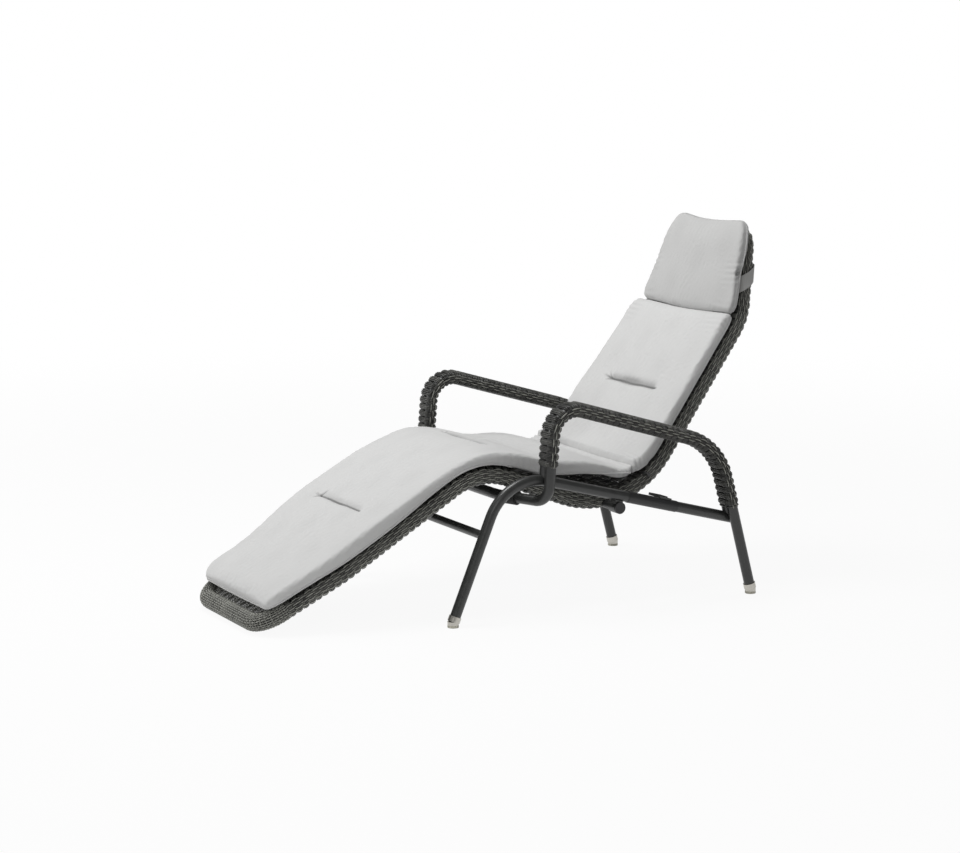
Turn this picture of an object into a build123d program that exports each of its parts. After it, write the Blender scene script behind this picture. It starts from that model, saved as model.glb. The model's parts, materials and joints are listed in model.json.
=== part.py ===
# Sun lounger: a woven shell with a long cushion tilts between two armrest loops on four legs.
# Millimetres, Z up, X across, the foot end at -Y, the head end at +Y, the floor at Z 0.
import os
from math import atan2, cos, degrees, hypot, radians, sin

from build123d import *

os.makedirs("parts", exist_ok=True)

# Shared tube and fit sizes
TUBE_OD = 25.0
TUBE_WALL = 1.5
CROSS_OD = 20.0
SIDE_GAP = 0.3
SOFT_GAP = 0.3
RUN_FIT = 0.03
SLIP_FIT = 0.05
BODY_GAP = 0.4

# Arm loops: two tubes side by side under one woven wrap
ARM_X = 307.0
ARM_FRONT_Y, ARM_FRONT_Z = -146.0, 498.0
ARM_REAR_Y, ARM_REAR_Z = 298.9, 368.7
ARM_FRONT_R = 60.0
ARM_REAR_R = 150.0
UPRIGHT_FOOT_Y = -164.0
BAR_Z = 271.0
BAR_Y = -218.0
BAR_STRAIGHT_X = 180.0
BAR_BOW_R = 150.0
BAR_BEND_R = 38.0
REAR_FOOT_Y, REAR_FOOT_Z = 395.1, 15.0
WRAP_THICK = 3.0
WRAP_FRONT_Z = 352.0
WRAP_REAR_Z = 217.0
SPIGOT_HALF = 60.0

# Side rails: front leg, bend and rail in one tube
RAIL_FOOT_Y, RAIL_FOOT_Z = -394.6, 14.0
RAIL_TOP_Y, RAIL_TOP_Z = -259.0, 343.7
RAIL_BEND_R = 125.0
RAIL_SLOPE = -0.26
RAIL_END_Y = 364.0
RAIL_CAP_THICK = 3.0
RAIL_PLUG_DEEP = 9.0
LEG_BAR_Z = 203.0

# Feet
CAP_OD = 29.0
CAP_LENGTH = 11.0
CAP_FLOOR = 2.0
PAD_OD = 26.0
PAD_HEIGHT = 6.0

# Rail sleeve with the stop shelf for the laid-back shell
SLEEVE_THICK = 1.0
SLEEVE_FRONT_Y, SLEEVE_REAR_Y = 62.0, 196.0
SHELF_FRONT_Y, SHELF_REAR_Y = 146.0, 178.0
SHELF_INNER_X = 249.0
SHELF_THICK = 4.0
SHELF_PAD = 2.0
SHELF_BITE = 1.0
SHELF_OUTER_REACH = 6.0

# Shell rim: corner points of the centre line of one side, x y z
FOOT_X, FOOT_Y, FOOT_Z = 176.0, -818.0, 24.0
CALF_X, CALF_Y, CALF_Z = 190.0, -620.0, 128.0
KNEE_X, KNEE_Y, KNEE_Z = 210.0, -283.8, 342.5
SEAT_X, SEAT_Y, SEAT_Z = 222.0, 106.0, 196.0
NECK_X, NECK_Y, NECK_Z = 196.0, 438.5, 650.5
HEAD_X, HEAD_Y, HEAD_Z = 122.0, 502.0, 845.0
FOOT_R, CALF_R, KNEE_R, SEAT_R, NECK_R, HEAD_R = 60.0, 500.0, 150.0, 240.0, 180.0, 56.0
RIM_OD = 30.0
RIM_WRAP_OD = 43.0
RIM_SPIGOT_HALF = 50.0
PANEL_BOTTOM = 2.0
PANEL_THICK = 5.0
PANEL_SIDE = 1.5
BRACE_OD = 16.0

# Pivot under the rails
PIVOT_SHARE = 0.545
PIVOT_GAP = 0.2
PIN_OD = 12.0
PIN_ROOT_X = 216.0
COLLAR_OD = 21.0
BARREL_INNER_X, BARREL_OUTER_X = 270.0, 300.0
BARREL_OD = 28.0
BUSH_OD = 16.0
BUSH_FLANGE = 1.5
BUSH_FLANGE_OD = 22.0
PIN_CAP_THICK = 3.0
PIN_SCREW_OD = 6.0
PIN_SCREW_DEEP = 14.0
HANGER_WIDTH = 20.0
HANGER_DEPTH = 20.0
HANGER_INSET = 5.0
TILT_MAX = 20.0
LUG_OD = 9.0
LUG_REACH = 16.0

# Rest pads on the front bar
REST_PAD_WIDTH = 34.0
REST_PAD_OD = 33.0

# Cushions, sizes across and measured from the rim's centre line
CUSHION_OVERHANG = 16.0
CUSHION_LOW = 25.0
CUSHION_DIP = 15.0
CUSHION_EDGE = 24.0
CUSHION_CROWN = 8.0
CUSHION_SIDE_BULGE = 5.0
TOE_INSET = 30.0
LIFT_OFF_RUN = 146.0
LIFT_OFF_R = 200.0
CREASE_Y, CREASE_Z = 116.0, 300.0
# share of the length, side trim, edge thickness, crown, dip of the underside
SEAT_STATIONS = (
    (0.000, 16, 12, 5, 3),
    (0.015, 5, 22, 8, 10),
    (0.070, 0, 27, 10, 14),
    (0.180, -5, 31, 10, 14),
    (0.275, -12, 35, 8, 12),
    (0.370, -10, 32, 9, 12),
    (0.500, 0, 25, 5, 10),
    (0.620, 0, 28, 5, 9),
    (0.700, 0, 34, 5, 8),
    (0.800, 0, 33, 5, 5),
    (0.930, 0, 24, 5, 4),
    (1.000, 3, 25, 3, 2),
)
TUFT_LENGTH = 190.0
TUFT_RADIUS = 13.0
TUFT_DEPTH = 6.0

BACK_START_TRIM = 2.0
BACK_END_RUN = 1.0
BACK_END_TRIM = 6.0
BACK_END_LIFT = 3.0
# height of the rim beside the station, side trim, edge thickness, crown, dip of the underside
BACK_STATIONS = (
    (306, 0, 27, 8, 6),
    (350, 0, 25, 9, 14),
    (400, 0, 24, 9, 14),
    (450, 0, 24, 6, 14),
    (510, 0, 24, 9, 14),
    (580, 0, 24, 10, 14),
    (630, 2, 23, 8, 12),
)
# height of the rim beside each sewn tuft
LEG_TUFT_SHARE = 0.318
KNEE_TUFT_SHARE = 0.655
BACK_TUFT_HEIGHT = 450.0

# Head pillow and its strap, heights along the headrest
PILLOW_LOW = 28.0
PILLOW_SEAM = 0.8
# height, half width, edge thickness, crown, dip
PILLOW_STATIONS = (
    (0, 184, 12, 6, 1),
    (12, 195, 19, 11, 3),
    (34, 196, 20, 14, 4),
    (92, 181, 20, 15, 5),
    (146, 172, 20, 14, 5),
    (176, 165, 20, 12, 4),
    (200, 156, 18, 9, 3),
    (216, 146, 15, 7, 3),
    (226, 129, 9, 4, 2),
)
STRAP_HEIGHT = 40.0
STRAP_RISE_SHARE = 0.7
STRAP_AT = 96.0
STRAP_THICK = 1.6
STRAP_AIR = 2.8
STRAP_TAB = 6.0

# shift along Y that brings the middle of the length to zero
length_shift = -(FOOT_Y + HEAD_Y) / 2
arm_pitch_half = (TUBE_OD + SIDE_GAP) / 2
outer_x = ARM_X + arm_pitch_half
inner_x = ARM_X - arm_pitch_half
tube_r = TUBE_OD / 2
rim_r = RIM_WRAP_OD / 2


def export(name, shape):
    shape = Location((0, length_shift, 0)) * shape
    box = shape.bounding_box()
    print("%-22s valid %s solids %d volume %.0f  y %.1f..%.1f z %.1f..%.1f x %.1f..%.1f" % (
        name, shape.is_valid, len(shape.solids()), shape.volume,
        box.min.Y, box.max.Y, box.min.Z, box.max.Z, box.min.X, box.max.X))
    export_step(shape, "parts/%s.step" % name)


def mirrored(shape):
    return mirror(shape, about=Plane.YZ)


def both(shape):
    return Compound(children=shape.solids() + mirrored(shape).solids())


def bent_path(points, bends):
    return FilletPolyline(*points, radius=bends)


def start_plane(path):
    return Plane(origin=path @ 0, z_dir=path % 0)


def rod(path, outer):
    return sweep(start_plane(path) * Circle(outer / 2), path=path)


def pipe(path, outer, wall):
    ring = Circle(outer / 2) - Circle(outer / 2 - wall)
    return sweep(start_plane(path) * ring, path=path)


def cross_rod(x0, x1, y, z, outer):
    return Plane(origin=(x0, y, z), z_dir=(1, 0, 0)) * extrude(Circle(outer / 2), x1 - x0)


def cross_pipe(x0, x1, y, z, outer, inner):
    return Plane(origin=(x0, y, z), z_dir=(1, 0, 0)) * extrude(Circle(outer / 2) - Circle(inner / 2), x1 - x0)


def rail_z(y):
    return RAIL_TOP_Z + RAIL_SLOPE * (y - RAIL_TOP_Y)


def along(start, end, distance):
    total = hypot(end[0] - start[0], end[1] - start[1])
    share = distance / total
    return (start[0] + (end[0] - start[0]) * share, start[1] + (end[1] - start[1]) * share)


# Frame: rails with their front legs
def rail_path():
    return bent_path([(inner_x, RAIL_FOOT_Y, RAIL_FOOT_Z), (inner_x, RAIL_TOP_Y, RAIL_TOP_Z),
                      (inner_x, RAIL_END_Y, rail_z(RAIL_END_Y))], RAIL_BEND_R)


def leg_bar_y():
    share = (LEG_BAR_Z - RAIL_FOOT_Z) / (RAIL_TOP_Z - RAIL_FOOT_Z)
    return RAIL_FOOT_Y + (RAIL_TOP_Y - RAIL_FOOT_Y) * share


rail_solid = rod(rail_path(), TUBE_OD)
rail_tube = pipe(rail_path(), TUBE_OD, TUBE_WALL)
rail_end = Plane(origin=rail_path() @ 1, z_dir=rail_path() % 1)
rail_cap = rail_end * (extrude(Circle(tube_r), RAIL_CAP_THICK)
                       + extrude(Circle(tube_r - TUBE_WALL), -RAIL_PLUG_DEEP))
leg_bar = cross_pipe(-inner_x, inner_x, leg_bar_y(), LEG_BAR_Z, CROSS_OD, CROSS_OD - 2 * TUBE_WALL)
leg_bar = leg_bar - rail_solid - mirrored(rail_solid)


# Frame: arm loops, the outer tube runs from the middle of the front bar to the rear foot
def outer_arm_path():
    return bent_path([(0, BAR_Y, BAR_Z), (BAR_STRAIGHT_X, BAR_Y, BAR_Z), (outer_x, UPRIGHT_FOOT_Y, BAR_Z),
                      (outer_x, ARM_FRONT_Y, ARM_FRONT_Z), (outer_x, ARM_REAR_Y, ARM_REAR_Z),
                      (outer_x, REAR_FOOT_Y, REAR_FOOT_Z)],
                     [BAR_BOW_R, BAR_BEND_R, ARM_FRONT_R, ARM_REAR_R])


def line_at_z(y0, z0, y1, z1, z):
    return y0 + (y1 - y0) * (z - z0) / (z1 - z0)


def upright_y(z):
    return line_at_z(UPRIGHT_FOOT_Y, BAR_Z, ARM_FRONT_Y, ARM_FRONT_Z, z)


def rear_leg_y(z):
    return line_at_z(ARM_REAR_Y, ARM_REAR_Z, REAR_FOOT_Y, REAR_FOOT_Z, z)


def rail_meets(y_of_z):
    z = rail_z(0)
    for step in range(20):
        z = rail_z(y_of_z(z))
    return y_of_z(z), z


def inner_arm_path():
    front_y, front_z = rail_meets(upright_y)
    rear_y, rear_z = rail_meets(rear_leg_y)
    return bent_path([(inner_x, front_y, front_z), (inner_x, ARM_FRONT_Y, ARM_FRONT_Z),
                      (inner_x, ARM_REAR_Y, ARM_REAR_Z), (inner_x, rear_y, rear_z)],
                     [ARM_FRONT_R, ARM_REAR_R])


def wrap_path():
    return bent_path([(ARM_X, upright_y(WRAP_FRONT_Z), WRAP_FRONT_Z), (ARM_X, ARM_FRONT_Y, ARM_FRONT_Z),
                      (ARM_X, ARM_REAR_Y, ARM_REAR_Z), (ARM_X, rear_leg_y(WRAP_REAR_Z), WRAP_REAR_Z)],
                     [ARM_FRONT_R, ARM_REAR_R])


def wrap_section(grow):
    return SlotCenterToCenter(TUBE_OD + SIDE_GAP, TUBE_OD + 2 * grow)


arm_tube = pipe(outer_arm_path(), TUBE_OD, TUBE_WALL)
inner_arm_tube = pipe(inner_arm_path(), TUBE_OD, TUBE_WALL) - rail_solid
wrap_start = Plane(origin=wrap_path() @ 0, x_dir=(1, 0, 0), z_dir=wrap_path() % 0)
arm_weave = sweep(wrap_start * (wrap_section(WRAP_THICK) - wrap_section(0)), path=wrap_path())
bar_spigot = cross_pipe(-SPIGOT_HALF, SPIGOT_HALF, BAR_Y, BAR_Z,
                        TUBE_OD - 2 * TUBE_WALL - SLIP_FIT, TUBE_OD - 4 * TUBE_WALL)


# Feet: a plated cup on each leg end with a flat glide under it
def foot(x, y, z, top_y, top_z):
    lean = hypot(top_y - y, top_z - z)
    axis = (0, (top_y - y) / lean, (top_z - z) / lean)
    end = Plane(origin=(x, y, z), z_dir=axis)
    cup = end * (extrude(Circle(CAP_OD / 2), CAP_LENGTH) - extrude(Circle(tube_r), CAP_LENGTH))
    floor = end * extrude(Circle(CAP_OD / 2), -CAP_FLOOR)
    skirt_y = y - axis[1] / axis[2] * (z - PAD_HEIGHT) / 2
    skirt = Location((x, skirt_y, PAD_HEIGHT)) * extrude(Circle(PAD_OD / 2), z - PAD_HEIGHT)
    below = Plane(origin=(x, y, z), z_dir=axis) * extrude(Circle(CAP_OD), -CAP_OD)
    under_floor = Location((x, y, 0)) * Box(CAP_OD * 2, CAP_OD * 2, PAD_HEIGHT,
                                            align=(Align.CENTER, Align.CENTER, Align.MIN))
    cap = (cup + floor + (skirt & below)) - under_floor
    pad = Location((x, skirt_y, 0)) * extrude(Circle(PAD_OD / 2), PAD_HEIGHT)
    return cap, pad


front_cap, front_pad = foot(inner_x, RAIL_FOOT_Y, RAIL_FOOT_Z, RAIL_TOP_Y, RAIL_TOP_Z)
rear_cap, rear_pad = foot(outer_x, REAR_FOOT_Y, REAR_FOOT_Z, ARM_REAR_Y, ARM_REAR_Z)


# Sleeve round the rail and the shelf that stops the laid-back shell
rail_line = Plane(origin=(inner_x, SLEEVE_FRONT_Y, rail_z(SLEEVE_FRONT_Y)), x_dir=(1, 0, 0), z_dir=(0, 1, RAIL_SLOPE))
run_length = hypot(1, RAIL_SLOPE)
sleeve_ring = Circle(tube_r + SLEEVE_THICK) - Circle(tube_r)
rail_sleeve = rail_line * extrude(sleeve_ring, (SLEEVE_REAR_Y - SLEEVE_FRONT_Y) * run_length)


def shelf_block(x0, x1, low, high):
    plane = Plane(origin=(x0, SHELF_FRONT_Y, rail_z(SHELF_FRONT_Y)), x_dir=(0, 1, RAIL_SLOPE), z_dir=(1, 0, 0))
    block = Polyline((0, low), ((SHELF_REAR_Y - SHELF_FRONT_Y) * run_length, low),
                     ((SHELF_REAR_Y - SHELF_FRONT_Y) * run_length, high), (0, high), close=True)
    return plane * extrude(make_face(block), x1 - x0)


shelf_low = tube_r + SLEEVE_THICK - SHELF_BITE
sleeve_rod = rail_line * extrude(Circle(tube_r + SLEEVE_THICK), (SLEEVE_REAR_Y - SLEEVE_FRONT_Y) * run_length)
rest_shelf = shelf_block(SHELF_INNER_X, inner_x + SHELF_OUTER_REACH, shelf_low, shelf_low + SHELF_THICK) - sleeve_rod
shelf_pad = shelf_block(SHELF_INNER_X, inner_x - tube_r, shelf_low + SHELF_THICK,
                        shelf_low + SHELF_THICK + SHELF_PAD)

# Shell profile in the middle plane, with the rim's half spacing along it
def profile_points():
    return [(0, FOOT_Y, FOOT_Z), (0, CALF_Y, CALF_Z), (0, KNEE_Y, KNEE_Z), (0, SEAT_Y, SEAT_Z),
            (0, NECK_Y, NECK_Z), (0, HEAD_Y, HEAD_Z)]


profile = bent_path(profile_points(), [CALF_R, KNEE_R, SEAT_R, NECK_R])
rim_spacing = [FOOT_X, CALF_X, KNEE_X, SEAT_X, NECK_X, HEAD_X]


def rim_x(y, z):
    best = None
    points = profile_points()
    for index in range(len(points) - 1):
        y0, z0 = points[index][1:]
        y1, z1 = points[index + 1][1:]
        run = hypot(y1 - y0, z1 - z0)
        share = ((y - y0) * (y1 - y0) + (z - z0) * (z1 - z0)) / run / run
        share = min(max(share, 0), 1)
        miss = hypot(y0 + (y1 - y0) * share - y, z0 + (z1 - z0) * share - z)
        if best is None or miss < best[0]:
            best = (miss, rim_spacing[index] + (rim_spacing[index + 1] - rim_spacing[index]) * share)
    return best[1]


def corner_share(corner):
    runs = [hypot(b[1] - a[1], b[2] - a[2]) for a, b in zip(profile_points(), profile_points()[1:])]
    return sum(runs[:corner]) / sum(runs)


def cross_plane(path, share):
    point = path.position_at(share * path.length, position_mode=PositionMode.LENGTH)
    heading = path.tangent_at(share * path.length, position_mode=PositionMode.LENGTH)
    return Plane(origin=point, x_dir=(1, 0, 0), z_dir=-heading)


def below_profile(share, depth):
    point = cross_plane(profile, share).from_local_coords((0, -depth, 0))
    return point.Y, point.Z


# Pivot: barrel hung under the rail, flanged bushes, pin fixed in the rim
pivot_y, pivot_z = below_profile(PIVOT_SHARE, CROSS_OD / 2 - PANEL_BOTTOM + PIVOT_GAP)
print("pivot at", round(pivot_y + length_shift, 3), round(pivot_z, 3))
barrel = cross_pipe(BARREL_INNER_X, BARREL_OUTER_X, pivot_y, pivot_z, BARREL_OD, BUSH_OD)
bush_bore = PIN_OD + 2 * RUN_FIT
bush_half = (BARREL_OUTER_X - BARREL_INNER_X) / 2 - SLIP_FIT
inner_bush = (cross_pipe(BARREL_INNER_X, BARREL_INNER_X + bush_half, pivot_y, pivot_z, BUSH_OD, bush_bore)
              + cross_pipe(BARREL_INNER_X - BUSH_FLANGE, BARREL_INNER_X, pivot_y, pivot_z, BUSH_FLANGE_OD, bush_bore))
outer_bush = (cross_pipe(BARREL_OUTER_X - bush_half, BARREL_OUTER_X, pivot_y, pivot_z, BUSH_OD, bush_bore)
              + cross_pipe(BARREL_OUTER_X, BARREL_OUTER_X + BUSH_FLANGE, pivot_y, pivot_z, BUSH_FLANGE_OD, bush_bore))
barrel_rod = cross_rod(BARREL_INNER_X, BARREL_OUTER_X, pivot_y, pivot_z, BARREL_OD)
hanger_height = rail_z(pivot_y) - pivot_z
hanger = Location((inner_x - HANGER_INSET, pivot_y, pivot_z)) * Box(
    HANGER_WIDTH, HANGER_DEPTH, hanger_height, align=(Align.CENTER, Align.CENTER, Align.MIN))
hanger = (hanger - rail_solid - barrel_rod).solids().sort_by(Axis.Z)[0]

pin_end_x = BARREL_OUTER_X + BUSH_FLANGE + RUN_FIT
pin = cross_rod(PIN_ROOT_X, pin_end_x, pivot_y, pivot_z, PIN_OD)
pin = pin - cross_rod(pin_end_x - PIN_SCREW_DEEP, pin_end_x, pivot_y, pivot_z, PIN_SCREW_OD)
pin_cap = (cross_rod(pin_end_x, pin_end_x + PIN_CAP_THICK, pivot_y, pivot_z, BARREL_OD)
           + cross_rod(pin_end_x - PIN_SCREW_DEEP, pin_end_x, pivot_y, pivot_z, PIN_SCREW_OD))


# Shell rim: one bent tube a side, from the middle of the foot end to the middle of the head end
def rim_path():
    return bent_path([(0, FOOT_Y, FOOT_Z), (FOOT_X, FOOT_Y, FOOT_Z), (CALF_X, CALF_Y, CALF_Z),
                      (KNEE_X, KNEE_Y, KNEE_Z), (SEAT_X, SEAT_Y, SEAT_Z), (NECK_X, NECK_Y, NECK_Z),
                      (HEAD_X, HEAD_Y, HEAD_Z), (0, HEAD_Y, HEAD_Z)],
                     [FOOT_R, CALF_R, KNEE_R, SEAT_R, NECK_R, HEAD_R])


rim_solid = rod(rim_path(), RIM_OD)
rim_wrap_solid = rod(rim_path(), RIM_WRAP_OD)
pin_rod = cross_rod(PIN_ROOT_X, pin_end_x, pivot_y, pivot_z, PIN_OD)
rim_tube = pipe(rim_path(), RIM_OD, TUBE_WALL)
rim_weave = pipe(rim_path(), RIM_WRAP_OD, (RIM_WRAP_OD - RIM_OD) / 2)
collar = cross_pipe(PIN_ROOT_X, BARREL_INNER_X - BUSH_FLANGE - RUN_FIT, pivot_y, pivot_z, COLLAR_OD, PIN_OD)
collar = (collar - rim_wrap_solid).solids().sort_by(Axis.X)[-1]


# Woven panel between the rims
panel_plane = cross_plane(profile, 0)
panel_middle = PANEL_BOTTOM + PANEL_THICK / 2
panel_section = panel_plane * Location((0, panel_middle)) * Rectangle(2 * SEAT_X, PANEL_THICK)
panel_slab = sweep(panel_section, path=profile)
panel_cut = panel_slab - rim_wrap_solid - mirrored(rim_wrap_solid)
woven_panel = max(panel_cut.solids(), key=lambda piece: piece.volume)


# Braces under the panel, one on the pivot line
def brace(y, z, outer):
    reach = rim_x(y, z)
    bar = cross_pipe(-reach, reach, y, z, outer, outer - 2 * TUBE_WALL)
    bar = bar - rim_wrap_solid - mirrored(rim_wrap_solid)
    return max(bar.solids(), key=lambda piece: piece.volume)


brace_depth = BRACE_OD / 2 - PANEL_BOTTOM
BRACE_SHARES = (0.17, 0.47, 0.72, 0.87)
braces = [brace(*below_profile(share, brace_depth), BRACE_OD) for share in BRACE_SHARES]
pivot_brace = brace(pivot_y, pivot_z, CROSS_OD)


# Stop lugs on the rims: they come down on the shelves when the shell lies back
def lug_centre():
    shelf_y = (SHELF_FRONT_Y + SHELF_REAR_Y) / 2
    top = rail_z(shelf_y) + (shelf_low + SHELF_THICK + SHELF_PAD) * run_length
    y = shelf_y - pivot_y
    z = top + LUG_OD / 2 * run_length + BODY_GAP - pivot_z
    turn = radians(TILT_MAX)
    return pivot_y + y * cos(turn) - z * sin(turn), pivot_z + y * sin(turn) + z * cos(turn)


lug_y, lug_z = lug_centre()
lug_x = rim_x(lug_y, lug_z)
lug = cross_rod(lug_x, lug_x + rim_r + LUG_REACH, lug_y, lug_z, LUG_OD)
print("lug at", round(lug_y, 1), round(lug_z, 1), "x", round(lug_x, 1))

rim_tube = rim_tube - pin_rod - lug
rim_weave = rim_weave - pin_rod - lug


# Soft parts: each section has a dipped underside, bulging sides and a crowned top
def soft_section(plane, half, low, dip, edge, crown, bulge):
    top = low + edge
    middle = low + edge / 2
    under = ThreePointArc((-half, low), (0, low - dip), (half, low))
    right = ThreePointArc((half, low), (half + bulge, middle), (half, top))
    over = ThreePointArc((half, top), (0, top + crown), (-half, top))
    left = ThreePointArc((-half, top), (-half - bulge, middle), (-half, low))
    return plane * make_face(Wire([under, right, over, left]))


def section_plane(y, z, lean):
    turn = radians(lean)
    return Plane(origin=(0, y, z), x_dir=(1, 0, 0), z_dir=(0, -cos(turn), -sin(turn)))


def offset_point(centre_y, centre_z, lean, lift):
    turn = radians(lean)
    return centre_y - lift * sin(turn), centre_z + lift * cos(turn)


def slope_of(y0, z0, y1, z1):
    return degrees(atan2(z1 - z0, y1 - y0))


calf_lean = slope_of(FOOT_Y, FOOT_Z, CALF_Y, CALF_Z)
thigh_lean = slope_of(CALF_Y, CALF_Z, KNEE_Y, KNEE_Z)
seat_lean = slope_of(KNEE_Y, KNEE_Z, SEAT_Y, SEAT_Z)
back_lean = slope_of(SEAT_Y, SEAT_Z, NECK_Y, NECK_Z)
head_lean = slope_of(NECK_Y, NECK_Z, HEAD_Y, HEAD_Z)
knee_turn = radians((thigh_lean - seat_lean) / 2)
knee_offset = CUSHION_LOW / cos(knee_turn)
calf_y, calf_z = offset_point(CALF_Y, CALF_Z, (calf_lean + thigh_lean) / 2, CUSHION_LOW)
knee_y, knee_z = offset_point(KNEE_Y, KNEE_Z, (thigh_lean + seat_lean) / 2, knee_offset)
toe_y, toe_z = offset_point(*along((FOOT_Y, FOOT_Z), (CALF_Y, CALF_Z), TOE_INSET), calf_lean, CUSHION_LOW)
front_y, front_z = along((knee_y, knee_z), (SEAT_Y, SEAT_Z + CUSHION_LOW), LIFT_OFF_RUN)
seat_path = bent_path([(0, toe_y, toe_z), (0, calf_y, calf_z), (0, knee_y, knee_z), (0, front_y, front_z),
                       (0, CREASE_Y, CREASE_Z)], [CALF_R, KNEE_R + CUSHION_LOW, LIFT_OFF_R])


def loft_along(path, stations, lift):
    faces = []
    for share, trim, edge, crown, dip in stations:
        plane = cross_plane(path, share)
        half = rim_x(plane.origin.Y, plane.origin.Z) + CUSHION_OVERHANG - CUSHION_SIDE_BULGE - trim
        faces.append(soft_section(plane, half, lift, dip, edge, crown, CUSHION_SIDE_BULGE))
    return loft(faces)


def tuft(y, z, lean, low):
    plane = section_plane(y, z, lean)
    reach = TUFT_LENGTH / 2
    spindle = Plane(origin=plane.from_local_coords((0, low + TUFT_RADIUS - TUFT_DEPTH, 0)),
                    x_dir=(1, 0, 0), z_dir=plane.z_dir)
    outline = Wire([Line((-reach, 0), (reach, 0)), ThreePointArc((reach, 0), (0, TUFT_RADIUS), (-reach, 0))])
    return spindle * revolve(make_face(outline), Axis.X)


seat_cushion = loft_along(seat_path, SEAT_STATIONS, 0)
leg_tuft = cross_plane(seat_path, LEG_TUFT_SHARE).origin
knee_tuft = cross_plane(seat_path, KNEE_TUFT_SHARE).origin
leg_station, knee_station = SEAT_STATIONS[4], SEAT_STATIONS[7]
seat_cushion = seat_cushion - tuft(leg_tuft.Y, leg_tuft.Z, thigh_lean, leg_station[2] + leg_station[3])
seat_cushion = seat_cushion - tuft(knee_tuft.Y, knee_tuft.Z, seat_lean / 2, knee_station[2] + knee_station[3])


def share_at_height(z):
    low, high = corner_share(3), 1.0
    for step in range(30):
        middle = (low + high) / 2
        if cross_plane(profile, middle).origin.Z < z:
            low = middle
        else:
            high = middle
    return (low + high) / 2


def head_plane(run):
    y, z = along((NECK_Y, NECK_Z), (HEAD_Y, HEAD_Z), run)
    return section_plane(y, z, head_lean)


def soft_half(y, z, trim):
    return rim_x(y, z) + CUSHION_OVERHANG - CUSHION_SIDE_BULGE - trim


def back_cushion_solid():
    crease_lean = slope_of(front_y, front_z, CREASE_Y, CREASE_Z)
    first, last = BACK_STATIONS[0], BACK_STATIONS[-1]
    start = section_plane(CREASE_Y + 2 * SOFT_GAP, CREASE_Z, crease_lean)
    faces = [soft_section(start, soft_half(CREASE_Y, CREASE_Z, BACK_START_TRIM), 0, first[4], first[2] + first[3],
                          first[3] / 2, CUSHION_SIDE_BULGE)]
    for height, trim, edge, crown, dip in BACK_STATIONS:
        plane = cross_plane(profile, share_at_height(height))
        half = soft_half(plane.origin.Y, plane.origin.Z, trim)
        faces.append(soft_section(plane, half, CUSHION_LOW, dip, edge, crown, CUSHION_SIDE_BULGE))
    end = head_plane(BACK_END_RUN)
    half = soft_half(end.origin.Y, end.origin.Z, BACK_END_TRIM)
    faces.append(soft_section(end, half, CUSHION_LOW + BACK_END_LIFT, last[4] / 2, last[2] * 2 / 3,
                              last[3] / 2, CUSHION_SIDE_BULGE))
    return loft(faces)


back_cushion = back_cushion_solid()
back_spot = cross_plane(profile, share_at_height(BACK_TUFT_HEIGHT)).origin
back_cushion = back_cushion - tuft(back_spot.Y, back_spot.Z, back_lean,
                                   CUSHION_LOW + BACK_STATIONS[3][2] + BACK_STATIONS[3][3])


# Head pillow and the strap that loops behind the headrest
def pillow_solid():
    faces = []
    for height, half, edge, crown, dip in PILLOW_STATIONS:
        plane = head_plane(BACK_END_RUN + PILLOW_SEAM + height)
        faces.append(soft_section(plane, half, PILLOW_LOW, dip, edge, crown, CUSHION_SIDE_BULGE))
    return loft(faces)


def strap_profile(run, spread):
    plane = head_plane(run)
    inner = rim_r + STRAP_AIR
    outer = inner + STRAP_THICK
    x = spread
    tab = x - STRAP_TAB
    lines = [Line((tab, inner), (tab, outer)), Line((tab, outer), (x, outer)),
             ThreePointArc((x, outer), (x + outer, 0), (x, -outer)), Line((x, -outer), (-x, -outer)),
             ThreePointArc((-x, -outer), (-x - outer, 0), (-x, outer)), Line((-x, outer), (-tab, outer)),
             Line((-tab, outer), (-tab, inner)), Line((-tab, inner), (-x, inner)),
             ThreePointArc((-x, inner), (-x - inner, 0), (-x, -inner)), Line((-x, -inner), (x, -inner)),
             ThreePointArc((x, -inner), (x + inner, 0), (x, inner)), Line((x, inner), (tab, inner))]
    return plane * make_face(Wire(lines))


def strap_solid():
    reach = rim_r + STRAP_AIR + STRAP_THICK
    low = STRAP_AT - STRAP_HEIGHT / 2 - STRAP_RISE_SHARE * reach
    high = STRAP_AT + STRAP_HEIGHT / 2 + STRAP_RISE_SHARE * reach
    band = loft([strap_profile(low, rim_at_run(low)), strap_profile(high, rim_at_run(high))], ruled=True)
    slab_plane = head_plane(STRAP_AT - STRAP_HEIGHT / 2)
    rise = STRAP_RISE_SHARE * reach
    wide = 2 * HEAD_Y
    outline = Polyline((-reach, rise), (reach, -rise), (reach, STRAP_HEIGHT - rise),
                       (-reach, STRAP_HEIGHT + rise), close=True)
    side = Plane(origin=slab_plane.origin - Vector(wide / 2, 0, 0), x_dir=slab_plane.y_dir, z_dir=(1, 0, 0))
    if side.y_dir.dot(-slab_plane.z_dir) < 0:
        side = Plane(origin=slab_plane.origin + Vector(wide / 2, 0, 0), x_dir=slab_plane.y_dir, z_dir=(-1, 0, 0))
    slab = side * extrude(make_face(outline), wide)
    return band & slab


def rim_at_run(run):
    share = run / hypot(HEAD_Y - NECK_Y, HEAD_Z - NECK_Z)
    return NECK_X + (HEAD_X - NECK_X) * share


head_pillow = pillow_solid()
pillow_strap = strap_solid()


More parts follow.
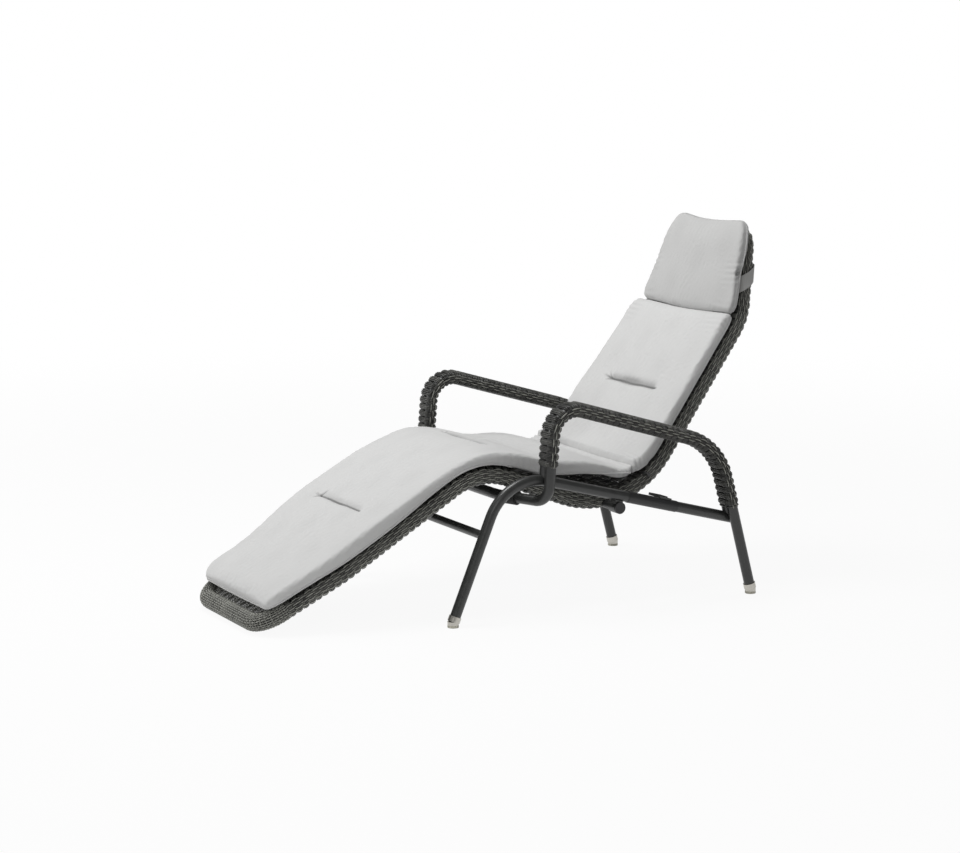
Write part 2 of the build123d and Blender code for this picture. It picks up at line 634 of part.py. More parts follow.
# Rest pads: rubber sleeves on the front bar under the rims
def rest_pad_solid():
    bar_start = Vector(BAR_STRAIGHT_X, BAR_Y, BAR_Z)
    bar_way = (Vector(outer_x, UPRIGHT_FOOT_Y, BAR_Z) - bar_start).normalized()
    rim_start = Vector(KNEE_X, KNEE_Y, KNEE_Z)
    rim_way = (Vector(SEAT_X, SEAT_Y, SEAT_Z) - rim_start).normalized()
    square = bar_way.cross(rim_way).normalized()
    between = rim_start - bar_start
    distance = abs(between.dot(square))
    side = rim_way.cross(square)
    run = between.dot(side) / bar_way.dot(side)
    middle = bar_start + bar_way * run
    outer = 2 * (distance - rim_r - SOFT_GAP)
    print("rest pad", round(outer, 2), "outer diameter at x", round(middle.X, 1))
    plane = Plane(origin=middle - bar_way * (REST_PAD_WIDTH / 2), z_dir=bar_way)
    return plane * extrude(Circle(outer / 2), REST_PAD_WIDTH) - rod(outer_arm_path(), TUBE_OD)


rest_pad = rest_pad_solid()

# Sleeves that join the halves of the rim inside the tubes
foot_spigot = cross_pipe(-RIM_SPIGOT_HALF, RIM_SPIGOT_HALF, FOOT_Y, FOOT_Z,
                         RIM_OD - 2 * TUBE_WALL - SLIP_FIT, RIM_OD - 4 * TUBE_WALL)
head_spigot = cross_pipe(-RIM_SPIGOT_HALF, RIM_SPIGOT_HALF, HEAD_Y, HEAD_Z,
                         RIM_OD - 2 * TUBE_WALL - SLIP_FIT, RIM_OD - 4 * TUBE_WALL)

# Export: each node in its own file
export("right_arm_tube", arm_tube)
export("left_arm_tube", mirrored(arm_tube))
export("right_inner_arm_tube", inner_arm_tube)
export("left_inner_arm_tube", mirrored(inner_arm_tube))
export("right_rail_tube", rail_tube)
export("left_rail_tube", mirrored(rail_tube))
export("right_arm_weave", arm_weave)
export("left_arm_weave", mirrored(arm_weave))
export("front_bar_spigot", bar_spigot)
export("leg_cross_tube", leg_bar)
export("rail_end_plugs", both(rail_cap))
export("foot_caps", Compound(children=both(front_cap).solids() + both(rear_cap).solids()))
export("foot_glides", Compound(children=both(front_pad).solids() + both(rear_pad).solids()))
export("rail_sleeves", both(rail_sleeve))
export("stop_shelves", both(rest_shelf))
export("stop_shelf_pads", both(shelf_pad))
export("pivot_hangers", both(hanger))
export("pivot_barrels", both(barrel))
export("pivot_bushes", Compound(children=both(inner_bush).solids() + both(outer_bush).solids()))
export("right_rest_pad", rest_pad)
export("left_rest_pad", mirrored(rest_pad))
export("right_rim_tube", rim_tube)
export("left_rim_tube", mirrored(rim_tube))
export("right_rim_weave", rim_weave)
export("left_rim_weave", mirrored(rim_weave))
export("rim_spigots", Compound(children=[foot_spigot, head_spigot]))
export("woven_panel", woven_panel)
export("shell_braces", Compound(children=braces))
export("pivot_brace", pivot_brace)
export("pivot_pins", both(pin))
export("pivot_collars", both(collar))
export("pivot_pin_caps", both(pin_cap))
export("stop_lugs", both(lug))
export("seat_cushion", seat_cushion)
export("back_cushion", back_cushion)
export("head_pillow", head_pillow)
export("pillow_strap", pillow_strap)
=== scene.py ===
# Sun lounger: woven shell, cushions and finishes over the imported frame, in metres.
import json
import math

import bmesh
import bpy
import numpy as np
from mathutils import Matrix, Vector
from mathutils.bvhtree import BVHTree


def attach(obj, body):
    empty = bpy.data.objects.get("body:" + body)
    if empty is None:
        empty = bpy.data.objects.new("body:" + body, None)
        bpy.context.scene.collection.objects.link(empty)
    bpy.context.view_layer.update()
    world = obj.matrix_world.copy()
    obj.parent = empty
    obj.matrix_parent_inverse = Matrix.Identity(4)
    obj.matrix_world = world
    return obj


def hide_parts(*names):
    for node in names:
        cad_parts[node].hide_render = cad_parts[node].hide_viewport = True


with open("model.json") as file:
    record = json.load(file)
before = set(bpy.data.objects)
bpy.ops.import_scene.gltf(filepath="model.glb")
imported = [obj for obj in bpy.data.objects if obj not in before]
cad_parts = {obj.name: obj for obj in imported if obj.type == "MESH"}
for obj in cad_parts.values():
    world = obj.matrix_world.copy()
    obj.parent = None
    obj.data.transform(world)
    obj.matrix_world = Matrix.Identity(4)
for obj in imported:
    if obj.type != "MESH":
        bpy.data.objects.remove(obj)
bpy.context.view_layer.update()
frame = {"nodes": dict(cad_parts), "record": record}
scene = bpy.context.scene
shift = 0.158  # the frame's origin lies this far from the middle between the feet


# Objects and meshes

def linkObject(name, data):
    made = bpy.data.objects.new(name, data)
    scene.collection.objects.link(made)
    return made


def dropObject(made):
    bpy.data.objects.remove(made, do_unlink=True)


def evaluatedMesh(made):  # plain mesh with the modifiers applied
    scene.view_layers[0].update()
    return bpy.data.meshes.new_from_object(made.evaluated_get(bpy.context.evaluated_depsgraph_get()))


def editMesh(mesh, change):
    shaped = bmesh.new()
    shaped.from_mesh(mesh)
    change(shaped)
    shaped.to_mesh(mesh)
    shaped.free()


def registerPiece(made, body, node):
    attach(made, body)
    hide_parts(node)


# Node helpers

class Link:  # a node's output that takes part in plain sums
    def __init__(self, nodes, out):
        self.nodes = nodes
        self.out = out

    def other(self, name):
        return Link(self.nodes, pickSocket(self.out.node.outputs, name))

    def math(self, operation, *others):
        return self.nodes.add("ShaderNodeMath", {"operation": operation}, dict(enumerate((self,) + others)))

    def __add__(self, other):
        return self.math("ADD", other)

    def __radd__(self, other):
        return self.math("ADD", other)

    def __sub__(self, other):
        return self.math("SUBTRACT", other)

    def __rsub__(self, other):
        return self.nodes.add("ShaderNodeMath", {"operation": "SUBTRACT"}, {0: other, 1: self})

    def __mul__(self, other):
        return self.math("MULTIPLY", other)

    def __rmul__(self, other):
        return self.math("MULTIPLY", other)

    def __truediv__(self, other):
        return self.math("DIVIDE", other)


def pickSocket(sockets, key):
    if isinstance(key, int):
        return sockets[key]
    return next(socket for socket in sockets if socket.name == key and socket.enabled)


class Nodes:  # adds nodes to one tree
    def __init__(self, tree):
        self.tree = tree

    def add(self, kind, settings=None, values=None, out=0):
        node = self.tree.nodes.new(kind)
        for name, value in (settings or {}).items():
            setattr(node, name, value)
        for key, value in (values or {}).items():
            self.feed(pickSocket(node.inputs, key), value)
        return Link(self, pickSocket(node.outputs, out)) if len(node.outputs) else node

    def feed(self, socket, value):
        if isinstance(value, Link):
            self.tree.links.new(value.out, socket)
        elif isinstance(value, tuple) and len(value) == 3 and socket.type == "RGBA":
            socket.default_value = (*value, 1)
        else:
            socket.default_value = value

    def mixColour(self, factor, first, second):
        return self.add("ShaderNodeMix", {"data_type": "RGBA"}, {"Factor": factor, "A": first, "B": second},
                        out="Result")

    def noise(self, place, scale, detail, roughness=0.5):
        return self.add("ShaderNodeTexNoise", None,
                        {"Vector": place, "Scale": scale, "Detail": detail, "Roughness": roughness})

    def bump(self, height, strength, distance, under=None):
        values = {"Strength": strength, "Distance": distance, "Height": height}
        if under is not None:
            values["Normal"] = under
        return self.add("ShaderNodeBump", None, values)

    def cross(self, first, second):
        return self.add("ShaderNodeVectorMath", {"operation": "CROSS_PRODUCT"}, {0: first, 1: second})

    def grow(self, vector, amount):
        return self.add("ShaderNodeVectorMath", {"operation": "SCALE"}, {0: vector, "Scale": amount})

    def total(self, *vectors):
        result = vectors[0]
        for vector in vectors[1:]:
            result = self.add("ShaderNodeVectorMath", {"operation": "ADD"}, {0: result, 1: vector})
        return result

    def join(self, *parts):
        joined = self.add("GeometryNodeJoinGeometry")
        for part in parts:
            self.tree.links.new(part.out, joined.out.node.inputs[0])
        return joined


def between(share, low, high):
    return share * (high - low) + low


def shaded(colour, factor):
    return tuple(min(1.0, part * factor) for part in colour)


def newMaterial(name):
    material = bpy.data.materials.new(name)
    material.use_nodes = True
    material.node_tree.nodes.clear()
    return material, Nodes(material.node_tree)


def finishMaterial(nodes, values):
    shader = nodes.add("ShaderNodeBsdfPrincipled", None, values)
    nodes.add("ShaderNodeOutputMaterial", None, {"Surface": shader})


# Finishes

clothLook = {"fleckScale": 420.0, "foldScale": 14.0, "fleckShare": 0.6, "spread": 0.05, "creaseShade": 0.45,
             "roughness": 0.9, "sheen": 0.25}
strandLook = {"patchScale": 240.0, "wideScale": 45.0, "patchShare": 0.30, "wideShare": 0.25,
              "strandShare": 0.90, "darken": 0.28, "roughness": (0.26, 0.51)}
paintLook = {"grainScale": 900.0, "wornScale": 38.0, "wornFrom": 0.35, "wornGain": 2.2, "dark": 0.8,
             "light": 1.35, "roughness": (0.18, 0.48)}
metalLook = {"rubScale": 160.0, "rubFrom": 0.3, "rubGain": 1.6, "dark": 0.72, "spread": 0.15}
plasticLook = {"grainScale": 700.0, "dark": 0.88, "spread": 0.1}


def clothMaterial(name, colour):
    material, nodes = newMaterial(name)
    place = nodes.add("ShaderNodeTexCoord", out="Object")
    paintedCreaseShade = nodes.add("ShaderNodeAttribute", {"attribute_name": "paintedCreaseShade"}, out="Fac")
    fleck = nodes.noise(place, clothLook["fleckScale"], 3.0, 0.7)
    fold = nodes.noise(place, clothLook["foldScale"], 4.0, 0.45)
    tone = fleck * clothLook["fleckShare"] + fold * (1 - clothLook["fleckShare"])
    spread = clothLook["spread"]
    shade = nodes.mixColour(tone, shaded(colour, 1 - spread), shaded(colour, 1 + spread))
    # painted shade: the cloth is mixed towards black in the creases and tuft grooves, as deep as the relief
    # stored on the mesh
    shade = nodes.mixColour(paintedCreaseShade * clothLook["creaseShade"], shade, (0.0, 0.0, 0.0))
    threads = nodes.bump(fleck, 0.15, 0.0004)
    folds = nodes.bump(fold, 0.2, 0.002, threads)
    finishMaterial(nodes, {"Base Color": shade, "Roughness": clothLook["roughness"],
                           "Specular IOR Level": 0.25, "Sheen Weight": clothLook["sheen"],
                           "Sheen Roughness": 0.5, "Normal": folds})
    return material


def strandMaterial(name, dark, light):
    material, nodes = newMaterial(name)
    place = nodes.add("ShaderNodeTexCoord", out="Object")
    strand = nodes.add("ShaderNodeAttribute", {"attribute_name": "tone"}, out="Fac")
    patch = nodes.noise(place, strandLook["patchScale"], 2.0)
    wide = nodes.noise(place, strandLook["wideScale"], 3.0)
    tone = patch * strandLook["patchShare"] + wide * strandLook["wideShare"]
    tone = tone + strand * strandLook["strandShare"] - strandLook["darken"]
    finishMaterial(nodes, {"Base Color": nodes.mixColour(tone, dark, light),
                           "Roughness": between(patch, *strandLook["roughness"]),
                           "Specular IOR Level": 0.7, "Normal": nodes.bump(patch, 0.25, 0.0006)})
    return material


def paintMaterial(name, colour):
    material, nodes = newMaterial(name)
    place = nodes.add("ShaderNodeTexCoord", out="Object")
    grain = nodes.noise(place, paintLook["grainScale"], 2.0)
    worn = nodes.noise(place, paintLook["wornScale"], 5.0, 0.65)
    share = (worn - paintLook["wornFrom"]) * paintLook["wornGain"]
    shade = nodes.mixColour(share, shaded(colour, paintLook["dark"]), shaded(colour, paintLook["light"]))
    finishMaterial(nodes, {"Base Color": shade, "Roughness": between(worn, *paintLook["roughness"]),
                           "Specular IOR Level": 0.6, "Normal": nodes.bump(grain, 0.3, 0.0003)})
    return material


def metalMaterial(name, colour, roughness):
    material, nodes = newMaterial(name)
    place = nodes.add("ShaderNodeTexCoord", out="Object")
    rub = nodes.noise(place, metalLook["rubScale"], 5.0)
    share = (rub - metalLook["rubFrom"]) * metalLook["rubGain"]
    spread = metalLook["spread"]
    finishMaterial(nodes, {"Base Color": nodes.mixColour(share, shaded(colour, metalLook["dark"]), colour),
                           "Metallic": 1.0, "Roughness": between(rub, roughness - spread, roughness + spread),
                           "Normal": nodes.bump(rub, 0.15, 0.0002)})
    return material


def plasticMaterial(name, colour, roughness):
    material, nodes = newMaterial(name)
    place = nodes.add("ShaderNodeTexCoord", out="Object")
    grain = nodes.noise(place, plasticLook["grainScale"], 3.0)
    spread = plasticLook["spread"]
    finishMaterial(nodes, {"Base Color": nodes.mixColour(grain, shaded(colour, plasticLook["dark"]), colour),
                           "Roughness": between(grain, roughness - spread, roughness + spread),
                           "Normal": nodes.bump(grain, 0.2, 0.0002)})
    return material


finishes = {
    "frame_paint": paintMaterial("charcoalPaint", (0.026, 0.027, 0.026)),
    # the light end of the strand colour is partly painted highlight: strands set near it stand in for the
    # bright lines the weave catches
    "weave": strandMaterial("wovenStrand", (0.006, 0.006, 0.005), (0.400, 0.402, 0.360)),
    "plated_cap": metalMaterial("nickelCap", (0.62, 0.60, 0.55), 0.32),
    "glide": plasticMaterial("creamGlide", (0.66, 0.64, 0.54), 0.5),
    "nylon": plasticMaterial("blackNylon", (0.02, 0.02, 0.021), 0.45),
    "rubber": plasticMaterial("matteRubber", (0.015, 0.015, 0.015), 0.75),
    "steel_pin": metalMaterial("steelPin", (0.45, 0.45, 0.45), 0.35),
    "cushion_cloth": clothMaterial("cushionCloth", (0.60, 0.60, 0.595)),
    "pillow_cloth": clothMaterial("pillowCloth", (0.495, 0.495, 0.49)),
}
strapCloth = clothMaterial("strapCloth", (0.42, 0.42, 0.41))


def coverNode(nodeName, finish):
    mesh = frame["nodes"][nodeName].data
    mesh.materials.clear()
    mesh.materials.append(finishes[finish])


for entry in frame["record"]["subparts"]:
    coverNode(entry["node"], entry["material_slot"])
print("finishes ready")


# Paths of the tubes

def point(x, y, z):
    return Vector((x, y, z)) / 1000 + Vector((0, shift, 0))


def bentPath(corners, bends, step):  # straight runs joined by arcs, as even points
    dense = [corners[0]]
    for index, bend in enumerate(bends):
        before, corner, after = corners[index:index + 3]
        inward = (before - corner).normalized()
        outward = (after - corner).normalized()
        turn = math.pi - inward.angle(outward)
        reach = bend * math.tan(turn / 2)
        start = corner + inward * reach
        centre = corner + (inward + outward).normalized() * (bend / math.cos(turn / 2))
        arm = start - centre
        side = -inward
        count = max(3, int(math.degrees(turn) / 2))
        for share in range(count + 1):
            angle = turn * share / count
            dense.append(centre + arm * math.cos(angle) + side * bend * math.sin(angle))
    dense.append(corners[-1])
    runs = [0.0]
    for first, second in zip(dense, dense[1:]):
        runs.append(runs[-1] + (second - first).length)
    total = runs[-1]
    count = int(round(total / step))
    even = []
    for index in range(count + 1):
        want = total * index / count
        at = min(max(np.searchsorted(runs, want, side="right") - 1, 0), len(dense) - 2)
        share = (want - runs[at]) / max(runs[at + 1] - runs[at], 1e-9)
        even.append(dense[at].lerp(dense[at + 1], share))
    return even


def tangents(points):
    last = len(points) - 1
    return [(points[min(i + 1, last)] - points[max(i - 1, 0)]).normalized() for i in range(last + 1)]


def pathObject(name, points, outwards):
    mesh = bpy.data.meshes.new(name)
    mesh.from_pydata(points, [(i, i + 1) for i in range(len(points) - 1)], [])
    layer = mesh.attributes.new("outward", "FLOAT_VECTOR", "POINT")
    layer.data.foreach_set("vector", [part for out in outwards for part in out])
    return linkObject(name, mesh)


rimCorners = [(0, -818, 24), (176, -818, 24), (190, -620, 128), (210, -283.8, 342.5), (222, 106, 196),
              (196, 438.5, 650.5), (122, 502, 845), (0, 502, 845)]
rimBends = [60, 500, 150, 240, 180, 56]
armCorners = {"x": 307, "front": (-146, 498), "rear": (298.9, 368.7), "start": (-157.6, 352),
              "end": (340.2, 217), "bends": (60, 150)}
lineStep = 0.002
footEndTop = 0.3  # below this height a run straight across takes the calf's slope, above it the headrest's


def shellNormal(way, spare):
    flat = math.hypot(way.y, way.z)
    return Vector((0, -way.z / flat, way.y / flat)) if flat > 0.02 else spare


def rimPath(side):
    corners = [point(side * x, y, z) for x, y, z in rimCorners]
    points = bentPath(corners, [bend / 1000 for bend in rimBends], lineStep)
    ways = tangents(points)
    calf = shellNormal(corners[2] - corners[1], None)
    head = shellNormal(corners[6] - corners[5], None)
    outs = []
    for way, at in zip(ways, points):
        up = shellNormal(way, calf if at.z < footEndTop else head)
        outs.append((way.cross(up) * side).normalized())
    return points, outs


def armPath(side):
    x = side * armCorners["x"]
    corners = [point(x, *armCorners[key]) for key in ("start", "front", "rear", "end")]
    points = bentPath(corners, [bend / 1000 for bend in armCorners["bends"]], lineStep)
    return points, [Vector((side, 0, 0))] * len(points)


# Woven wrap: rings of strands in ribs, with lengthwise strands woven through them

rimWeave = {
    "Strand Pitch": 0.0044, "Strand Radius": 0.0018, "Wrap Radius": 0.0172, "Half Width": 0.0,
    "Strands Per Rib": 4.0, "Rib Bulge": 0.0022, "Rib Gap": 0.24, "Warp Count": 7.0, "Warp Angle": 0.15,
    "Warp Step": 0.25, "Warp Depth": 0.0026, "Warp Thickness": 0.0012, "Warp Stagger": 0.4, "Rib Shade": 0.5,
    "Looseness": 0.0008, "Ring Dark": 0.0, "Ring Light": 0.30, "Ring Sides": 50, "Strand Sides": 4,
    "Material": finishes["weave"]}
footWeave = dict(rimWeave, **{
    "Strand Pitch": 0.0056, "Strand Radius": 0.0014, "Wrap Radius": 0.0184, "Strands Per Rib": 1.0,
    "Rib Bulge": 0.0, "Rib Gap": 0.0, "Warp Count": 11.0, "Warp Angle": 0.0, "Warp Step": 0.285,
    "Warp Depth": 0.0010, "Warp Thickness": 0.0013, "Warp Stagger": 1.0, "Rib Shade": 0.0, "Ring Dark": 0.25,
    "Ring Light": 0.70})
armWeave = dict(rimWeave, **{
    "Strand Pitch": 0.0041, "Wrap Radius": 0.0130, "Half Width": 0.01265, "Rib Bulge": 0.0028,
    "Rib Gap": 0.20, "Warp Count": 3.0, "Warp Angle": 0.0, "Warp Step": 0.36, "Warp Stagger": 1.0,
    "Looseness": 0.0006, "Ring Light": 0.24, "Ring Sides": 44})
socketKinds = {"float": "NodeSocketFloat", "int": "NodeSocketInt", "Material": "NodeSocketMaterial"}


def newTree(name, sizes):  # a tree whose named inputs are the keys of the sizes
    tree = bpy.data.node_groups.new(name, "GeometryNodeTree")
    tree.is_modifier = True
    tree.interface.new_socket("Geometry", in_out="INPUT", socket_type="NodeSocketGeometry")
    for key, value in sizes.items():
        tree.interface.new_socket(key, in_out="INPUT", socket_type=socketKinds[type(value).__name__])
    tree.interface.new_socket("Geometry", in_out="OUTPUT", socket_type="NodeSocketGeometry")
    nodes = Nodes(tree)
    return tree, nodes, nodes.add("NodeGroupInput")


def endTree(nodes, body, finish):
    smooth = nodes.add("GeometryNodeSetShadeSmooth", None, {"Geometry": body})
    real = nodes.add("GeometryNodeRealizeInstances", None, {"Geometry": smooth})
    done = nodes.add("GeometryNodeSetMaterial", None, {"Geometry": real, "Material": finish})
    nodes.add("NodeGroupOutput", None, {0: done})


def namedAttribute(nodes, name, kind="FLOAT_VECTOR"):
    return nodes.add("GeometryNodeInputNamedAttribute", {"data_type": kind}, {"Name": name}, out="Attribute")


def sampleLine(nodes, path, value, run, kind="FLOAT_VECTOR"):  # a value at a distance along the path
    return nodes.add("GeometryNodeSampleCurve", {"mode": "LENGTH", "data_type": kind},
                     {"Curves": path, "Value": value, "Length": run}, out="Value")


def copies(nodes, curve, amount):
    return nodes.add("GeometryNodeDuplicateElements", {"domain": "SPLINE"},
                     {"Geometry": curve, "Amount": amount})


def evenCurve(nodes, curve, length):
    return nodes.add("GeometryNodeResampleCurve", {"mode": "LENGTH"}, {"Curve": curve, "Length": length})


def chance(nodes, seed):
    return nodes.add("ShaderNodeTexWhiteNoise", {"noise_dimensions": "1D"}, {"W": seed}, out="Value")


# one shade for each strand, partly shared in a rib
def storeTone(nodes, curves, index, group, groupPart, low, high):
    single = chance(nodes, index + 0.37)
    shared = chance(nodes, group + 7.61)
    random = shared * groupPart + single * (1.0 - groupPart)
    return nodes.add("GeometryNodeStoreNamedAttribute", {"data_type": "FLOAT", "domain": "POINT"},
                     {"Geometry": curves, "Name": "tone", "Value": between(random, low, high)})


def strandBody(nodes, curves, sides, radius):
    profile = nodes.add("GeometryNodeCurvePrimitiveCircle", {"mode": "RADIUS"},
                        {"Resolution": sides, "Radius": radius})
    return nodes.add("GeometryNodeCurveToMesh", None,
                     {"Curve": curves, "Profile Curve": profile, "Fill Caps": True})


def wrapTree(sizes):
    tree, nodes, given = newTree("wovenWrap", sizes)
    get = given.other
    path = nodes.add("GeometryNodeMeshToCurve", None, {0: given})
    outward = namedAttribute(nodes, "outward")
    length = nodes.add("GeometryNodeCurveLength", None, {0: path})
    pitch = get("Strand Pitch")
    ribPitch = pitch * get("Strands Per Rib")
    middleWarp = (get("Warp Count") - 1) * 0.5
    band = get("Warp Count") * get("Warp Step") * 0.5

    # rings
    circle = nodes.add("GeometryNodeCurvePrimitiveCircle", {"mode": "RADIUS"},
                       {"Resolution": get("Ring Sides"), "Radius": 1.0})
    rings = copies(nodes, circle, (length / pitch).math("FLOOR"))
    ring = rings.other("Duplicate Index")
    rib = ((ring + 0.5) / get("Strands Per Rib")).math("FLOOR")
    share = ((ring + 0.5) / get("Strands Per Rib")).math("FRACT")
    run = (rib + 0.5 + (share - 0.5) * (1.0 - get("Rib Gap"))) * ribPitch
    side = sampleLine(nodes, path, outward, run)
    spot = side.other("Position")
    way = side.other("Tangent")
    up = nodes.cross(side, way)
    place = nodes.add("GeometryNodeInputPosition")
    parts = nodes.add("ShaderNodeSeparateXYZ", None, {0: place})
    cosine, sine = parts.other("X"), parts.other("Y")
    angle = sine.math("ARCTAN2", cosine.math("ABSOLUTE"))
    off = angle - get("Warp Angle")
    inside = nodes.add("ShaderNodeMapRange", {"interpolation_type": "SMOOTHSTEP"},
                       {"Value": off.math("ABSOLUTE"), "From Min": band, "From Max": band + get("Warp Step"),
                        "To Min": 1.0, "To Max": 0.0})
    bulge = (share * math.pi).math("SINE") * get("Rib Bulge")
    wave = ((off / get("Warp Step") + middleWarp + rib) * math.pi).math("COSINE") * get("Warp Depth")
    noise = nodes.add("ShaderNodeTexNoise", {"noise_dimensions": "4D"},
                      {"Vector": place, "W": ring * 0.37, "Scale": 1.3, "Detail": 1.0}, out="Fac")
    loose = (noise - 0.5) * get("Looseness") * 2.0
    radius = get("Wrap Radius") + bulge * (1.0 - inside * get("Warp Stagger") * 0.6)
    radius = radius + wave * inside * get("Warp Stagger")
    offSide = cosine * radius + cosine.math("SIGN") * get("Half Width")
    target = nodes.total(spot, nodes.grow(side, offSide), nodes.grow(up, sine * radius),
                         nodes.grow(way, loose))
    rings = nodes.add("GeometryNodeSetPosition", None, {"Geometry": rings, "Position": target})
    rings = storeTone(nodes, rings, ring, rib, get("Rib Shade"), get("Ring Dark"), get("Ring Light"))

    # lengthwise strands
    warps = copies(nodes, evenCurve(nodes, path, ribPitch / 5.0), get("Warp Count") * 2.0)
    number = warps.other("Duplicate Index")
    second = (number + 0.5).math("GREATER_THAN", get("Warp Count"))
    slot = number - second * get("Warp Count")
    warpAngle = get("Warp Angle") + (slot - middleWarp) * get("Warp Step")
    ran = nodes.add("GeometryNodeSplineParameter", out="Length")
    crossed = ((slot + ran / ribPitch - 0.5) * math.pi).math("COSINE") * -1.0
    over = (ran / ribPitch * math.pi).math("SINE").math("ABSOLUTE").math("POWER", 0.7) * 2.0 - 1.0
    rise = crossed * get("Warp Stagger") + over * (1.0 - get("Warp Stagger"))
    seat = get("Rib Bulge") * (0.75 - get("Warp Stagger") * 0.35)
    warpRadius = get("Wrap Radius") + seat + rise * get("Warp Depth")
    facing = 1.0 - second * 2.0
    warpSide = warpAngle.math("COSINE") * warpRadius * facing + facing * get("Half Width")
    warpUp = nodes.cross(outward, nodes.add("GeometryNodeInputTangent"))
    target = nodes.total(nodes.add("GeometryNodeInputPosition"), nodes.grow(outward, warpSide),
                         nodes.grow(warpUp, warpAngle.math("SINE") * warpRadius))
    warps = nodes.add("GeometryNodeSetPosition", None, {"Geometry": warps, "Position": target})
    # lengthwise strands take the light tones 0.7 to 1.0: painted highlight for the bright lines along the
    # weave, over their random tone
    warps = storeTone(nodes, warps, number, number, 0.0, 0.7, 1.0)
    body = nodes.join(strandBody(nodes, rings, get("Strand Sides"), get("Strand Radius")),
                      strandBody(nodes, warps, get("Strand Sides"), get("Warp Thickness")))
    endTree(nodes, body, get("Material"))
    return tree


def runTree(base, tree, values):  # the tree's result as a plain mesh
    modifier = base.modifiers.new(tree.name, "NODES")
    modifier.node_group = tree
    for item in tree.interface.items_tree:
        if item.item_type == "SOCKET" and item.in_out == "INPUT" and item.name in values:
            modifier[item.identifier] = values[item.name]
    mesh = evaluatedMesh(base)
    dropObject(base)
    return mesh


def addWeave(name, base, tree, look, body, node):
    mesh = runTree(base, tree, look)
    registerPiece(linkObject(name, mesh), body, node)
    print(name, len(mesh.polygons), "faces")


wrap = wrapTree(rimWeave)
rimSplits = {"footY": -0.60, "seatY": 0.02}
for side, word in ((1, "right"), (-1, "left")):
    points, outs = rimPath(side)
    toe = next(i for i, at in enumerate(points) if at.y > rimSplits["footY"])
    seat = next(i for i, at in enumerate(points) if at.y > rimSplits["seatY"])
    for part, first, last, look in (("foot", 0, toe + 1, footWeave), ("leg", toe, seat + 1, rimWeave),
                                    ("back", seat, len(points), rimWeave)):
        base = pathObject(word + part + "Line", points[first:last], outs[first:last])
        addWeave(word + "_" + part + "_rim_weave", base, wrap, look, "shell", word + "_rim_weave")
    base = pathObject(word + "ArmLine", *armPath(side))
    addWeave(word + "_arm_strands", base, wrap, armWeave, "frame", word + "_arm_weave")


# Woven panel between the rims

panelWeave = {"Strand Pitch": 0.0046, "Strand Radius": 0.0021, "Strands Per Rib": 4.0, "Rib Bulge": 0.001,
              "Warp Count": 19.0, "Warp Depth": 0.0014, "Strand Points": 58, "Strand Sides": 4,
              "Material": finishes["weave"]}
panelSeat = {"lift": 0.0045, "inset": 0.014, "splitY": 0.02, "step": 0.004}


def panelTree(sizes):
    tree, nodes, given = newTree("wovenPanel", sizes)
    get = given.other
    path = nodes.add("GeometryNodeMeshToCurve", None, {0: given})
    up = namedAttribute(nodes, "outward")
    reach = namedAttribute(nodes, "reach", "FLOAT")
    length = nodes.add("GeometryNodeCurveLength", None, {0: path})
    pitch = get("Strand Pitch")
    ribPitch = pitch * get("Strands Per Rib")

    # strands across
    line = nodes.add("GeometryNodeCurvePrimitiveLine", {"mode": "POINTS"},
                     {"Start": (-1.0, 0.0, 0.0), "End": (1.0, 0.0, 0.0)})
    line = nodes.add("GeometryNodeResampleCurve", {"mode": "COUNT"},
                     {"Curve": line, "Count": get("Strand Points")})
    rows = copies(nodes, line, (length / pitch).math("FLOOR"))
    row = rows.other("Duplicate Index")
    run = (row + 0.5) * pitch
    normal = sampleLine(nodes, path, up, run)
    wide = sampleLine(nodes, path, reach, run, "FLOAT")
    across = nodes.add("ShaderNodeSeparateXYZ", None, {0: nodes.add("GeometryNodeInputPosition")}).other("X")
    rib = ((row + 0.5) / get("Strands Per Rib")).math("FLOOR")
    share = ((row + 0.5) / get("Strands Per Rib")).math("FRACT")
    slot = (across * 0.5 + 0.5) * get("Warp Count")
    wave = ((slot + rib) * math.pi).math("SINE") * get("Warp Depth")
    rise = wave + (share * math.pi).math("SINE") * get("Rib Bulge")
    side = nodes.add("ShaderNodeCombineXYZ", None, {"X": across * wide})
    target = nodes.total(normal.other("Position"), side, nodes.grow(normal, rise))
    rows = nodes.add("GeometryNodeSetPosition", None, {"Geometry": rows, "Position": target})
    rows = storeTone(nodes, rows, row, rib, 0.4, 0.0, 0.6)

    # strands along
    warps = copies(nodes, evenCurve(nodes, path, ribPitch / 4.0), get("Warp Count"))
    number = warps.other("Duplicate Index")
    ran = nodes.add("GeometryNodeSplineParameter", out="Length")
    dip = ((number + 0.5 + ran / ribPitch - 0.5) * math.pi).math("SINE") * get("Warp Depth")
    off = ((number + 0.5) / get("Warp Count") * 2.0 - 1.0) * reach
    side = nodes.add("ShaderNodeCombineXYZ", None, {"X": off})
    target = nodes.total(nodes.add("GeometryNodeInputPosition"), side, nodes.grow(up, 0.0 - dip * 1.3))
    warps = nodes.add("GeometryNodeSetPosition", None, {"Geometry": warps, "Position": target})
    warps = storeTone(nodes, warps, number, number, 0.0, 0.2, 0.7)
    body = strandBody(nodes, nodes.join(rows, warps), get("Strand Sides"), get("Strand Radius"))
    endTree(nodes, body, get("Material"))
    return tree


def middleLine(corners, bends, step):
    points = bentPath([point(0, y, z) for y, z in corners], [bend / 1000 for bend in bends], step)
    ups = [shellNormal(way, None) for way in tangents(points)]
    return points, ups


spans = [(abs(x), *point(0, y, z)[1:]) for x, y, z in rimCorners[1:-1]]


